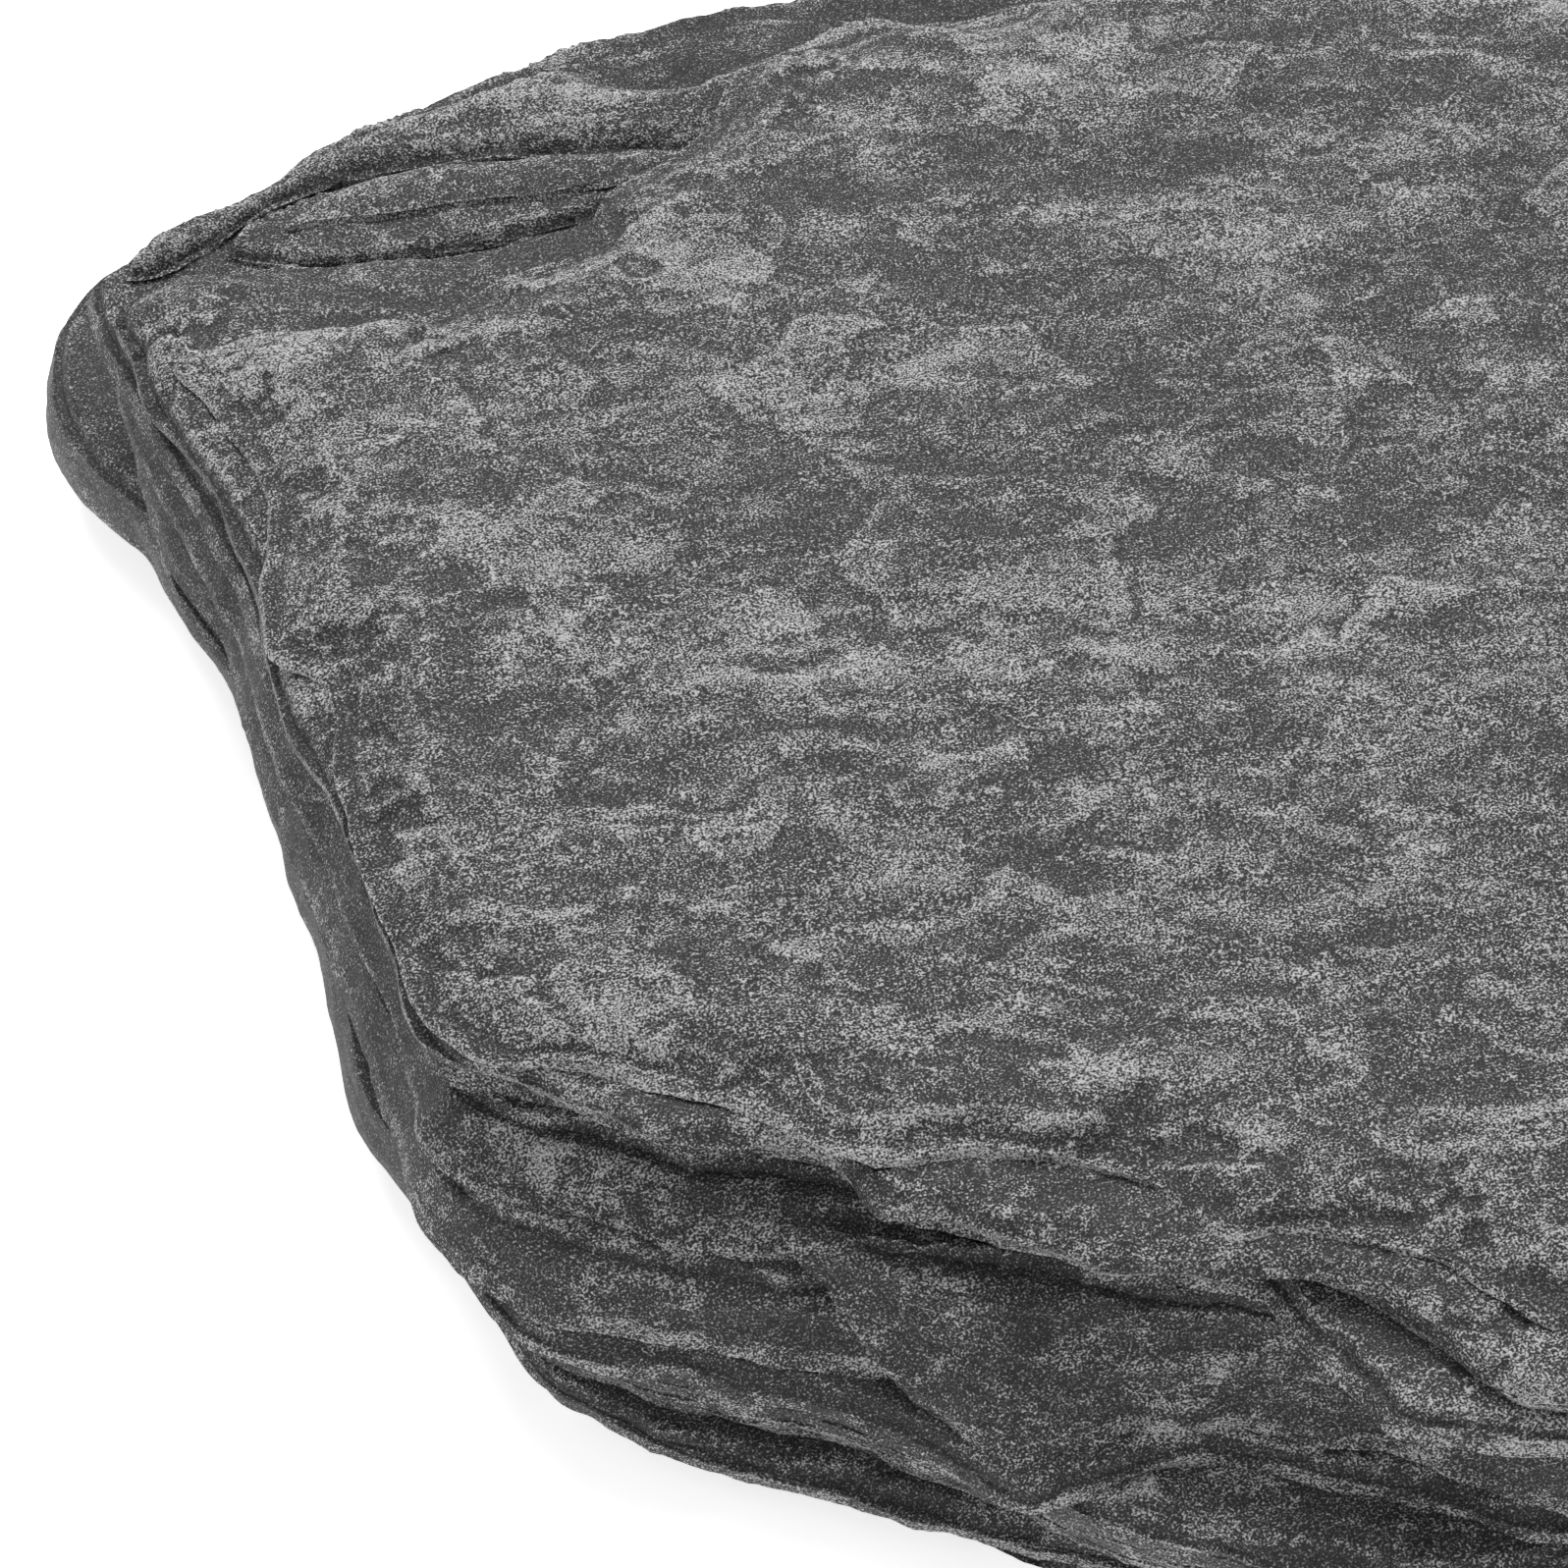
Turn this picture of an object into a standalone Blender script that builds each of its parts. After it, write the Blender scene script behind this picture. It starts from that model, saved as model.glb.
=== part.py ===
"""A rough cleft stone slab, modelled leaf by leaf. Every leaf is one cleavage sheet of the stone, lying
flat on the sheet under it, with the thin parting between them left open. +X runs along the slab and
+Y to its back."""

import math
import random

import bmesh
import bpy
from mathutils import Vector

# All sizes in millimetres. The outlines are drawn for a slab this long and this deep, and stretch with it.
SLAB_LENGTH = 159.0
SLAB_DEPTH = 132.0
DRAWN_LENGTH = 159.0
DRAWN_DEPTH = 132.0

PARTING = 0.3          # open parting between two neighbouring leaves
STEP_ALONG_EDGE = 3.2  # spacing of the points along a broken edge
RAGGED = 0.22          # how far a broken edge wanders to each side
SEED = 11

# Thickness of each full sheet, from the table up.
BASE_THICK = 2.2
UNDER_THICK = 2.1
NOSE_SLAB_THICK = 5.5
NOSE_LEAF_THICK = 1.6
LEDGE_THICK = 4.1
HEART_THICK = 3.5
SIDE_THICK = 1.8
LIP_THICK = 2.5
TOP_THICK = 1.8
# The flakes lying beside the lip leaf, on the side leaf.
BACK_SLIVER_THICK = 1.2
RIDGE_CHIP_THICK = 0.7
BACK_LEAF_THICK = 2.2

# Outline of the upper face of each leaf, counter-clockwise from its left end.
OUTLINES = {
    "base_leaf": [
        (-68, 24), (-65, 15.5), (-61.6, 8), (-59, -1), (-56.4, -10), (-54.8, -18), (-52, -26.5),
        (-48.6, -32.6), (-45.6, -38.4), (-42, -44.8), (-36.5, -48), (-29, -51), (-20, -54), (-11, -58),
        (-1, -61), (11, -62.5), (27, -60.5), (38, -57.5), (47, -50), (57, -42.5), (64, -28), (72, -16),
        (73, 0), (72, 14), (66, 28), (60, 40), (46, 50), (34, 55.5), (18, 59.5), (-6, 60), (-27, 57),
        (-45, 51), (-59, 42), (-65, 34),
    ],
    "under_leaf": [
        (-75, 28.4), (-73.4, 24.4), (-69.6, 18.6), (-65.6, 11.4), (-62.4, 5), (-60.4, -2), (-58, -9.6),
        (-56, -16.6), (-54, -24.4), (-51, -30.4), (-47.2, -36.4), (-43.6, -42.4), (-40.4, -47),
        (-33, -50.6), (-25, -53.4), (-16.5, -56.2), (-8, -58.5), (4, -60.5), (20, -62), (34, -59.5),
        (43, -52.5), (55, -46.5), (62, -34), (70, -24), (73.5, -8), (75.5, 6), (70, 21), (65.5, 36),
        (53, 47), (42, 53.5), (24, 60.5), (-4, 62), (-26, 59.5), (-44, 54), (-58, 47), (-68, 39),
        (-73.5, 33.4),
    ],
    "nose_slab": [
        (-77.8, 36.6), (-77.6, 29.6), (-75.2, 25.4), (-70.4, 19.6), (-66, 12.4), (-62.2, 5.2),
        (-60, -2), (-57.5, -9), (-55, -17), (-52.5, -27), (-48.5, -34.5), (-44, -41), (-39, -46.5),
        (-31, -49.8), (-21, -52.5), (-12, -56.5), (-3, -60.5), (8, -62.6), (21, -63), (33, -61.5),
        (41, -56), (52, -48.5), (61, -38), (66.5, -26), (74, -13), (77.5, 2), (76.5, 15), (71, 27),
        (67, 38), (57, 48.5), (46, 57), (33, 61.6), (10, 64), (-13, 63), (-33, 58.6), (-50, 53.4),
        (-64, 49.8), (-73, 44.2), (-76.2, 40.8),
    ],
    "nose_leaf": [
        (-71.4, 30), (-70.8, 25.6), (-69.6, 20.5), (-68.5, 14.5), (-66, 8.5), (-63, 4), (-59.6, -2),
        (-56.5, -10), (-53, -20), (-49.6, -30), (-47, -37.5), (-44.6, -44), (-41.2, -48.2),
        (-36.8, -50), (-32, -49.7), (-28.5, -51.3), (-22, -53), (-16, -56.4), (-12.2, -58.8),
        (-8.8, -57.6), (-5, -56.3), (0.5, -56), (8, -57.4), (14, -59.4), (20, -60.8), (30, -60),
        (39, -54), (50, -47.5), (57, -37), (65, -26), (70, -13), (73.5, 1), (69, 14), (67, 29),
        (57, 39.5), (47, 49.5), (33, 54), (20, 60), (6, 61), (-17, 60.5), (-38, 55.5), (-54, 48),
        (-65, 40),
    ],
    "ledge_slab": [
        (-69.2, 27), (-67.5, 18), (-65, 12), (-62, 6.5), (-60, 0), (-57.6, -7), (-54.4, -15.5),
        (-50.6, -25), (-48, -33), (-46, -39.6), (-42, -43.4), (-36.6, -45.4), (-31, -46.6),
        (-24, -47.6), (-12, -48.4), (0, -49), (10, -50.2), (22, -52.6), (32, -53), (39, -47), (50, -40),
        (57, -30), (65.5, -19), (68, -5), (71, 9), (66, 22), (62, 36), (51, 45.5), (44, 54.8),
        (31, 61.4), (15, 65.4), (-2, 66.1), (-14, 65.8), (-29.8, 63.5), (-37, 60.7), (-41, 59.3),
        (-48, 55.5), (-54.6, 51.7), (-60.4, 47.7), (-64.8, 41), (-68.3, 33.6),
    ],
    "heart_slab": [
        (-70, 27), (-68.6, 20.6), (-66, 15), (-63.4, 9), (-60.6, 4), (-59, -1), (-57, -7.5),
        (-53.6, -14.5), (-50, -23), (-47.6, -30.5), (-45.6, -36.4), (-41.4, -38.4), (-37, -39.8),
        (-31.8, -41.5), (-24, -42.6), (-12, -44.4), (0, -45.8), (9, -47.4), (19, -50.4), (29, -51.2),
        (40, -44), (47, -38.5), (56, -27), (61, -16), (66.5, -4), (66, 9), (61, 21), (57.5, 34),
        (47, 43), (39, 51), (25, 55.4), (5, 56.6), (-12, 53.4), (-24, 51), (-32, 46), (-44, 45.6),
        (-54, 42), (-61, 37), (-67, 32),
    ],
    "side_leaf": [
        (-73.2, 29), (-72.7, 25.4), (-70.2, 21), (-67.4, 15.6), (-65.2, 10.8), (-62.8, 6.6), (-60.8, 3),
        (-59.9, -0.5), (-58.6, -5), (-56.2, -9.6), (-54, -14), (-51.2, -20.2), (-49.5, -25.2),
        (-48, -30), (-46.2, -35), (-42, -36.4), (-37.4, -38), (-31.8, -40.3), (-27, -40.8),
        (-22.8, -41.6), (-19.4, -44.7), (-14, -46.1), (-8, -48.5), (-3, -49.2), (1.6, -50.2),
        (4, -53.2), (6.4, -56.2), (8.6, -59.4), (12.4, -59.8), (17, -60.4), (25, -61.4), (33, -59.6),
        (42, -51), (51, -45), (57.5, -33), (65, -21), (67, -6), (70, 6), (64.5, 19), (61.5, 33),
        (51, 43), (44, 52.4), (28, 57.6), (8, 58.6), (-11, 56), (-23, 52.9), (-31, 49), (-44, 47.2),
        (-52, 44), (-58.6, 40.4), (-62.6, 37.8), (-66.6, 34.8), (-70.2, 31.8),
    ],
    "lip_leaf": [
        (-70.6, 24.3), (-69.4, 20.8), (-68.5, 17.2), (-66, 13.2), (-63.8, 9.4), (-61.2, 4.2),
        (-59.4, 0.4), (-58.8, -3.6), (-57.2, -10.2), (-53.6, -17.6), (-50.6, -24.6), (-48.4, -31.4),
        (-45.6, -36.6), (-41.1, -38.5), (-36.6, -40.7), (-32, -43), (-27.6, -43), (-23.4, -43.7),
        (-20.6, -46.9), (-16.2, -48.1), (-11.7, -49.7), (-7.9, -51.5), (-4, -51.3), (1.6, -51.6),
        (7, -53), (10, -55.4), (13.4, -58.4), (19, -60.2), (28, -59.2), (36, -52.6), (46, -44.6),
        (52, -34), (60.5, -24), (63, -9), (66, 3), (61.5, 17), (57, 29), (45.5, 37), (35, 43), (20, 46),
        (5, 48), (-8, 45.4), (-19, 41), (-29, 37), (-36.4, 34), (-43, 31.6), (-51.6, 29.2), (-61, 28.6),
        (-67.4, 27.4),
    ],
    "top_leaf": [
        (-66, 17.8), (-64.2, 15.4), (-60.6, 10), (-59, 4), (-59, -1.6), (-57.8, -6.4), (-54.8, -8.6),
        (-53.6, -12), (-53.2, -17), (-51.2, -22.6), (-49, -29), (-46.6, -35), (-43.6, -37.2),
        (-39, -37.4), (-34.6, -38.8), (-28.2, -40.8), (-24.2, -43), (-19, -44.2), (-14.8, -43.6),
        (-9.8, -44.4), (-4.4, -46.2), (-0.6, -49), (4.6, -49.2), (11, -51.2), (17.6, -55.4),
        (26, -55.6), (33, -48.4), (43, -40), (48, -29), (57, -19), (59, -5), (61.5, 6), (55, 17),
        (53, 28), (46, 37), (39.5, 46), (29, 52.4), (15, 54.4), (1, 54), (-7.6, 52.6), (-12.3, 51.2),
        (-15.8, 50.1), (-19, 50.6), (-22, 49.6), (-26, 47.8), (-29.2, 45.2), (-30, 42.2), (-31.4, 39.2),
        (-34.4, 36), (-37.6, 33.4), (-38.8, 30.8), (-38.4, 28.8), (-41, 27), (-44.6, 25.4), (-49.6, 22),
        (-58, 20),
    ],
    "back_sliver": [
        (-64.6, 30.6), (-60.4, 29.9), (-51.6, 30.6), (-43.4, 32.9), (-36.8, 35.3), (-29.6, 38.3),
        (-22.4, 41.2), (-24.6, 43.4), (-33, 40), (-44.4, 39.4), (-52.8, 38.2), (-58.4, 36.2),
        (-62.6, 33.6),
    ],
    "ridge_chip": [
        (-60.6, 32), (-54.6, 33.3), (-50, 34.2), (-42.6, 35.4), (-36.8, 36.7), (-30, 39.6), (-33, 39.2),
        (-40, 39), (-46, 38.6), (-52.8, 37.5), (-58, 35),
    ],
    "back_leaf": [
        (-71, 28.8), (-68.2, 29.6), (-65.6, 32.2), (-62.6, 34.7), (-58.2, 37.4), (-52.6, 39.3),
        (-44.3, 40.5), (-33.2, 41.1), (-25, 44.6), (-19.4, 45.2), (-10, 48.6), (2, 50), (14, 49.8),
        (27, 48), (38, 44.6), (40.6, 49.6), (29, 55.2), (15, 56.4), (0, 56.2), (-11.2, 54.4),
        (-16, 52.5), (-20.2, 52.9), (-24.8, 51), (-28, 48.2), (-33.6, 46.1), (-38.2, 46.2),
        (-41.6, 47.9), (-45.2, 46.6), (-49.6, 44.4), (-54.6, 42.4), (-57.8, 40.4), (-60.1, 38.8),
        (-62.2, 37), (-64.4, 35.3), (-66.8, 33.5), (-69.2, 31.7),
    ],
    "front_wedge": [
        (-27.2, -45.2), (-20, -47.2), (-13, -48.2), (-8, -49.8), (0, -50.8), (7, -52.4), (13, -54.8),
        (19, -57.8), (24, -57.4), (22, -53.2), (12, -49.8), (2, -48), (-12, -47), (-20, -46.4),
    ],
}

# How far the lower outline of a leaf stands out from its upper one: (left, right, front, back).
# A negative number leaves the upper edge overhanging. These stretch with the slab, as the outlines do.
FLARES = {
    "base_leaf": (-1.2, -1.2, -1.0, -1.2),
    "under_leaf": (-0.6, 0.4, 0.3, 0.2),
    "nose_slab": (1.6, 1.6, -0.3, 1.6),
    "nose_leaf": (0.5, 0.6, 0.5, 0.6),
    "ledge_slab": (2.2, 2.4, 3.0, 0.8),
    "heart_slab": (1.2, 2.2, 2.9, 0.6),
    "side_leaf": (0.5, 0.9, 0.2, 0.7),
    "lip_leaf": (0.9, 1.2, -0.9, 0.7),
    "top_leaf": (0.8, 1.0, 0.9, 0.7),
    "back_sliver": (0.2, 0.2, 0.1, 0.1),
    "ridge_chip": (0.2, 0.2, 0.2, 0.1),
    "back_leaf": (0.5, 0.2, 0.1, 0.6),
}

# The wedge is a spalled block, so its foot has its own outline, matched point by point to the one above.
WEDGE_FOOT = [
    (-18.6, -53.2), (-15.8, -55.4), (-12, -57.2), (-6.4, -55.4), (0.6, -55.2), (8, -56.4), (14, -58.6),
    (21, -60.4), (27, -58.6), (25, -56.6), (13, -54.6), (2, -53), (-11, -52.4), (-16, -52.2),
]

STONE_COLOURS = {
    "base_leaf": (0.082, 0.080, 0.080),
    "under_leaf": (0.088, 0.086, 0.085),
    "nose_slab": (0.090, 0.088, 0.087),
    "nose_leaf": (0.104, 0.102, 0.102),
    "ledge_slab": (0.100, 0.097, 0.096),
    "heart_slab": (0.108, 0.106, 0.106),
    "side_leaf": (0.120, 0.118, 0.118),
    "lip_leaf": (0.140, 0.139, 0.141),
    "top_leaf": (0.170, 0.170, 0.173),
    "back_sliver": (0.105, 0.102, 0.101),
    "ridge_chip": (0.150, 0.148, 0.147),
    "back_leaf": (0.145, 0.144, 0.146),
    "front_wedge": (0.118, 0.116, 0.117),
}


ALONG = SLAB_LENGTH / DRAWN_LENGTH  # stretch of everything that is drawn along the slab
ACROSS = SLAB_DEPTH / DRAWN_DEPTH


def drawn_to_size(points):
    return [(x * ALONG, y * ACROSS) for x, y in points]


def smooth_loop(points):
    """Cuts a closed curve through the points at even steps. Each sample is (point index, share)."""
    count = len(points)
    samples = []
    for i in range(count):
        x0, y0 = points[i]
        x1, y1 = points[(i + 1) % count]
        cuts = max(1, round(math.hypot(x1 - x0, y1 - y0) / STEP_ALONG_EDGE))
        samples += [(i, k / cuts) for k in range(cuts)]
    return samples


def on_curve(points, index, share):
    count = len(points)
    a, b, c, d = (points[(index + k) % count] for k in (-1, 0, 1, 2))
    t, t2, t3 = share, share ** 2, share ** 3
    return tuple(
        0.5 * (2 * b[n] + (c[n] - a[n]) * t + (2 * a[n] - 5 * b[n] + 4 * c[n] - d[n]) * t2
               + (3 * b[n] - a[n] - 3 * c[n] + d[n]) * t3)
        for n in (0, 1)
    )


def outward_at(loop, i):
    (x0, y0), (x1, y1) = loop[i - 1], loop[(i + 1) % len(loop)]
    dx, dy = x1 - x0, y1 - y0
    length = math.hypot(dx, dy) or 1.0
    return dy / length, -dx / length


def roughened(loop, rng):
    """Moves every point a little along its own outward direction, with a slow wander under a quick one."""
    count = len(loop)
    phases = [rng.uniform(0, 2 * math.pi) for _ in range(3)]
    waves = [rng.randint(9, 14), rng.randint(19, 27), rng.randint(33, 41)]
    moved = []
    for i, (x, y) in enumerate(loop):
        nx, ny = outward_at(loop, i)
        turn = 2 * math.pi * i / count
        shift = sum(math.sin(w * turn + p) for w, p in zip(waves, phases)) / 3 + rng.uniform(-0.4, 0.4)
        moved.append((x + nx * shift * RAGGED, y + ny * shift * RAGGED))
    return moved


def flared(loop, flare):
    left, right, front, back = flare
    out = []
    for i, (x, y) in enumerate(loop):
        nx, ny = outward_at(loop, i)
        side = (left if nx < 0 else right) * ALONG
        end = (front if ny < 0 else back) * ACROSS
        reach = side * nx * nx + end * ny * ny
        out.append((x + nx * reach, y + ny * reach))
    return out


def stone_material(name):
    material = bpy.data.materials.new(name + "_stone")
    material.use_nodes = True
    shader = material.node_tree.nodes["Principled BSDF"]
    shader.inputs["Base Color"].default_value = (*STONE_COLOURS[name], 1.0)
    shader.inputs["Roughness"].default_value = 0.82
    shader.inputs["Metallic"].default_value = 0.0
    return material


def leaf_between(name, lower, upper, z_low, z_high):
    """One closed leaf: a flat lower face, a flat upper face, and the broken edge round between them."""
    bm = bmesh.new()
    low = [bm.verts.new((x / 1000, y / 1000, z_low / 1000)) for x, y in lower]
    high = [bm.verts.new((x / 1000, y / 1000, z_high / 1000)) for x, y in upper]
    count = len(low)
    for i in range(count):
        j = (i + 1) % count
        bm.faces.new((low[i], low[j], high[j], high[i]))
    bm.faces.new(list(reversed(low)))
    bm.faces.new(high)
    mesh = bpy.data.meshes.new(name)
    bmesh.ops.recalc_face_normals(bm, faces=bm.faces)
    bm.to_mesh(mesh)
    bm.free()
    mesh.materials.append(stone_material(name))
    leaf = bpy.data.objects.new(name, mesh)
    bpy.context.collection.objects.link(leaf)
    return leaf


def add_leaf(name, z_low, thick):
    rng = random.Random(SEED + sum(map(ord, name)))
    points = drawn_to_size(OUTLINES[name])
    cuts = smooth_loop(points)
    upper = roughened([on_curve(points, i, t) for i, t in cuts], rng)
    if name == "front_wedge":
        foot = drawn_to_size(WEDGE_FOOT)
        lower = roughened([on_curve(foot, i, t) for i, t in cuts], rng)
    else:
        lower = flared(upper, FLARES[name])
    leaf_between(name, lower, upper, z_low, z_low + thick)
    return z_low + thick + PARTING


def build_stone():
    z = add_leaf("base_leaf", 0.0, BASE_THICK)
    z = add_leaf("under_leaf", z, UNDER_THICK)
    z = add_leaf("nose_slab", z, NOSE_SLAB_THICK)
    z = add_leaf("nose_leaf", z, NOSE_LEAF_THICK)
    wedge_foot = z
    z = add_leaf("ledge_slab", z, LEDGE_THICK)
    z = add_leaf("heart_slab", z, HEART_THICK)
    # the wedge leans against the ledge and heart slabs and stops under the side leaf
    add_leaf("front_wedge", wedge_foot, LEDGE_THICK + PARTING + HEART_THICK)
    z = add_leaf("side_leaf", z, SIDE_THICK)
    chip = add_leaf("back_sliver", z, BACK_SLIVER_THICK)
    add_leaf("ridge_chip", chip, RIDGE_CHIP_THICK)
    add_leaf("back_leaf", z, BACK_LEAF_THICK)
    z = add_leaf("lip_leaf", z, LIP_THICK)
    add_leaf("top_leaf", z, TOP_THICK)


def centre_on_base():
    """Puts the origin under the middle of the whole stone, in the plane it rests on."""
    leaves = [o for o in bpy.data.objects if o.type == "MESH"]
    xs = [v.co.x for leaf in leaves for v in leaf.data.vertices]
    ys = [v.co.y for leaf in leaves for v in leaf.data.vertices]
    middle = Vector(((min(xs) + max(xs)) / 2, (min(ys) + max(ys)) / 2, 0.0))
    for leaf in leaves:
        for v in leaf.data.vertices:
            v.co -= middle


for old in list(bpy.data.objects):
    bpy.data.objects.remove(old, do_unlink=True)
build_stone()
centre_on_base()
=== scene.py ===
import bpy
import math
import numpy as np
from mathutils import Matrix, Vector
from mathutils.geometry import delaunay_2d_cdt
from mathutils.kdtree import KDTree


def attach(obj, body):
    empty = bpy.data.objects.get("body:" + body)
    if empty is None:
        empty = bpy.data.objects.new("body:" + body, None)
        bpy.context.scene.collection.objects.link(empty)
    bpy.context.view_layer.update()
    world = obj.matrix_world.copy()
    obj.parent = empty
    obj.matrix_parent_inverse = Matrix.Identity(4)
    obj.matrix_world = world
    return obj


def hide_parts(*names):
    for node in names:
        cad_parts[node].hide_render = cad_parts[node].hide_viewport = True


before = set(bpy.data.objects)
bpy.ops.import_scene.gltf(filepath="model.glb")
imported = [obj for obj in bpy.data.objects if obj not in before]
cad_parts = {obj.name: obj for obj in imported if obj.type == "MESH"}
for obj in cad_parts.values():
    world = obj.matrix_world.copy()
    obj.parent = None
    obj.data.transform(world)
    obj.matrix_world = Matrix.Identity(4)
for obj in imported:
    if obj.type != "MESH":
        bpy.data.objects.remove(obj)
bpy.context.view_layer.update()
mm = 0.001
print("frame loaded,", len(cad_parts), "leaves")

# All the shaping below works in millimetres.

# random tables behind the noise and the cells
tableRandom = np.random.default_rng(5)
shuffled = tableRandom.permutation(256)
shuffled = np.concatenate([shuffled, shuffled])
arrows = tableRandom.normal(size=(256, 3))
arrows /= np.linalg.norm(arrows, axis=1)[:, None]
cellPlace = tableRandom.uniform(0.12, 0.88, (256, 3))
cellChance = tableRandom.uniform(0, 1, (256, 3))


def cornerNumber(cell):
    h = shuffled[cell[:, 0] & 255] + (cell[:, 1] & 255)
    h = shuffled[h & 511] + (cell[:, 2] & 255)
    return shuffled[h & 511]


# smooth noise of about -1 to 1, wavelength in mm as one number or three
def noise(points, wavelength, seed=0):
    p = points / (np.array(wavelength, float) * np.ones(3)) + np.array([17.31, 5.77, 9.13]) * seed
    cell = np.floor(p).astype(np.int64)
    f = p - cell
    ease = f * f * f * (f * (f * 6 - 15) + 10)
    total = np.zeros(len(p))
    for corner in np.ndindex(2, 2, 2):
        arrow = arrows[cornerNumber(cell + corner)]
        share = np.prod(np.where(corner, ease, 1 - ease), axis=1)
        total += share * ((f - corner) * arrow).sum(axis=1)
    return total * 1.7


# finer and finer noise added up
def layeredNoise(points, wavelength, layers=3, seed=0):
    wavelength = np.array(wavelength, float) * np.ones(3)
    parts = [0.5 ** k * noise(points, wavelength / 2 ** k, seed + 3 * k) for k in range(layers)]
    return sum(parts) / sum(0.5 ** k for k in range(layers))


# irregular cells: distance to the nearest middle, and three chances that belong to the cell
def cells(points, size, seed=0, flat=False):
    p = points / (np.array(size, float) * np.ones(3)) + np.array([3.1, 7.7, 5.3]) * seed
    base = np.floor(p).astype(np.int64)
    nearest = np.full(len(p), 9.0)
    owner = np.zeros(len(p), int)
    for step in np.ndindex(3, 3, 1 if flat else 3):
        cell = base + np.array(step) - (1, 1, 0 if flat else 1)
        number = cornerNumber(cell)
        away = p - cell - cellPlace[number]
        if flat:
            away[:, 2] = 0
        d = np.sqrt((away ** 2).sum(axis=1))
        closer = d < nearest
        owner = np.where(closer, number, owner)
        nearest = np.where(closer, d, nearest)
    return nearest, cellChance[owner]


def smoothStep(low, high, x):
    t = np.clip((x - low) / (high - low), 0, 1)
    return t * t * (3 - 2 * t)


# the outline of the flat face of a CAD leaf at this height, counter-clockwise
def capLoop(points, faces, height):
    flat = np.abs(points[faces][:, :, 2] - height).max(axis=1) < 1e-3
    seen = {}
    for a, b, c in faces[flat]:
        for e in ((a, b), (b, c), (c, a)):
            seen[e] = True
    follow = {a: b for a, b in seen if (b, a) not in seen}
    start = min(follow, key=lambda i: (points[i][0], points[i][1]))
    loop, at = [start], follow[start]
    while at != start:
        loop.append(at)
        at = follow[at]
    loop = points[loop]
    x, y = loop[:, 0], loop[:, 1]
    if (x * np.roll(y, -1) - np.roll(x, -1) * y).sum() < 0:
        loop = loop[::-1]
    return loop


def leafLoops(name):
    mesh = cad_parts[name].data
    mesh.calc_loop_triangles()
    co = np.array([v.co for v in mesh.vertices]) / mm
    tris = np.array([t.vertices for t in mesh.loop_triangles])
    _, first, index = np.unique(np.round(co, 3), axis=0, return_index=True, return_inverse=True)
    co, tris = co[first], index.reshape(-1)[tris]
    tris = tris[(tris[:, 0] != tris[:, 1]) & (tris[:, 1] != tris[:, 2]) & (tris[:, 2] != tris[:, 0])]
    return capLoop(co, tris, co[:, 2].max()), capLoop(co, tris, co[:, 2].min())


def lengthAlong(loop):
    steps = np.linalg.norm(np.roll(loop, -1, axis=0) - loop, axis=1)
    return np.concatenate([[0], np.cumsum(steps)])


# points of a smooth curve through the loop, i and t saying between which two corners and how far along
def onCurve(loop, i, t):
    n = len(loop)
    a, b, c, d = loop[(i - 1) % n], loop[i % n], loop[(i + 1) % n], loop[(i + 2) % n]
    bend, twist = 2 * a - 5 * b + 4 * c - d, 3 * b - a - 3 * c + d
    return 0.5 * (2 * b + (c - a) * t + bend * t ** 2 + twist * t ** 3)


def atShares(loop, shares):
    along = lengthAlong(loop[:, :2])
    place = (shares % 1.0) * along[-1]
    i = np.clip(np.searchsorted(along, place, side="right") - 1, 0, len(loop) - 1)
    t = ((place - along[i]) / (along[i + 1] - along[i]))[:, None]
    return i, t


# upper and lower outline of a leaf, cut into the same number of points that stand over each other
def matchedLoops(name, spacing):
    upper, lower = leafLoops(name)
    count = int(lengthAlong(upper[:, :2])[-1] / spacing)
    shares = np.arange(count) / count
    i, t = atShares(upper, shares)
    top = onCurve(upper, i, t)
    if len(upper) == len(lower):
        turns = [np.abs(upper[:, :2] - np.roll(lower, -k, axis=0)[:, :2]).sum() for k in range(len(lower))]
        lower = np.roll(lower, -int(np.argmin(turns)), axis=0)
        return top, onCurve(lower, i, t)
    starts = np.arange(240) / 240
    turns = [np.abs(top[:, :2] - onCurve(lower, *atShares(lower, shares + s))[:, :2]).sum() for s in starts]
    return top, onCurve(lower, *atShares(lower, shares + starts[int(np.argmin(turns))]))


def outwards(loop):
    ahead = 0
    for k in (2, 4, 6):
        ahead = ahead + (np.roll(loop, -k, axis=0) - np.roll(loop, k, axis=0))[:, :2] / k
    out = np.stack([ahead[:, 1], -ahead[:, 0]], axis=1)
    return out / np.maximum(np.linalg.norm(out, axis=1), 1e-9)[:, None]


# smooths out any place where a loop crosses itself
def untangled(loop):
    count = len(loop)

    def side(p, q, r):
        along, across = q - p, r - p
        return along[..., 0] * across[..., 1] - along[..., 1] * across[..., 0]
    for _ in range(30):
        a, b = loop[:, :2], np.roll(loop, -1, axis=0)[:, :2]
        split = side(a[:, None], b[:, None], a[None]) * side(a[:, None], b[:, None], b[None]) <= 0
        i, j = np.nonzero(split & split.T)
        gap = (j - i) % count
        bad = (gap > 1) & (gap < count - 1) & (gap <= count // 2)
        if not bad.any():
            return loop
        for start, steps in zip(i[bad], gap[bad]):
            if steps < 60:
                for k in range(start - 2, start + steps + 4):
                    loop[k % count] = (loop[(k - 1) % count] + loop[k % count] + loop[(k + 1) % count]) / 3
    print("a loop still crosses itself")
    return loop


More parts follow.
